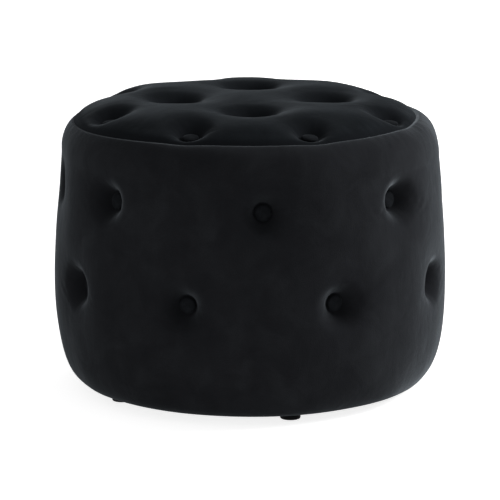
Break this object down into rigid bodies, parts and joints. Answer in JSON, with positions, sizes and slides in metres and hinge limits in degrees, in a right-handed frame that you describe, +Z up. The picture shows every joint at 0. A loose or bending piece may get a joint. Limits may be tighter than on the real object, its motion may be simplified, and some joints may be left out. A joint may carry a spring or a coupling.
{
  "type": "tuffet",
  "caption": "Round drum tuffet with a button-tufted velvet top and side over foam, on a boarded drum with low feet.",
  "frame": {"origin": "on the floor under the middle of the tuffet", "axes": "+Z up, front of the pictured view towards -Y, +X to its right"},
  "size_m": [0.5384, 0.5384, 0.402],
  "materials": {
    "velvet": "black velvet, cut pile",
    "button_velvet": "black velvet stretched over a button",
    "foam": "open-cell polyurethane foam",
    "plywood": "sanded birch plywood",
    "hardboard": "smooth pressed hardboard",
    "pine": "planed pine",
    "twine": "waxed tufting twine",
    "dust_cloth": "black non-woven cloth",
    "foot_plastic": "moulded black plastic",
    "screw_steel": "zinc-plated steel"
  },
  "bodies": {
    "root": {"base_board": "plywood", "base_screw_1": "screw_steel", "base_screw_2": "screw_steel", "base_screw_3": "screw_steel", "dust_cover": "dust_cloth", "foot_1": "foot_plastic", "foot_2": "foot_plastic", "foot_3": "foot_plastic", "foot_4": "foot_plastic", "foot_5": "foot_plastic", "foot_screw_1": "screw_steel", "foot_screw_2": "screw_steel", "foot_screw_3": "screw_steel", "foot_screw_4": "screw_steel", "foot_screw_5": "screw_steel", "frame_post_1": "pine", "frame_post_2": "pine", "frame_post_3": "pine", "front_cover": "velvet", "inner_button_1": "button_velvet", "inner_button_2": "button_velvet", "inner_button_3": "button_velvet", "inner_button_4": "button_velvet", "lower_button_1": "button_velvet", "lower_button_2": "button_velvet", "lower_button_3": "button_velvet", "lower_button_4": "button_velvet", "lower_button_5": "button_velvet", "lower_button_6": "button_velvet", "lower_button_7": "button_velvet", "lower_button_8": "button_velvet", "lower_lacing": "twine", "outer_button_1": "button_velvet", "outer_button_2": "button_velvet", "outer_button_3": "button_velvet", "outer_button_4": "button_velvet", "outer_button_5": "button_velvet", "outer_button_6": "button_velvet", "outer_button_7": "button_velvet", "outer_button_8": "button_velvet", "rear_cover": "velvet", "seat_foam": "foam", "side_foam": "foam", "side_wall": "hardboard", "top_board": "plywood", "top_cover": "velvet", "top_lacing": "twine", "top_screw_1": "screw_steel", "top_screw_2": "screw_steel", "top_screw_3": "screw_steel", "upper_button_1": "button_velvet", "upper_button_2": "button_velvet", "upper_button_3": "button_velvet", "upper_button_4": "button_velvet", "upper_button_5": "button_velvet", "upper_button_6": "button_velvet", "upper_button_7": "button_velvet", "upper_button_8": "button_velvet", "upper_lacing": "twine"}
  },
  "joints": []
}
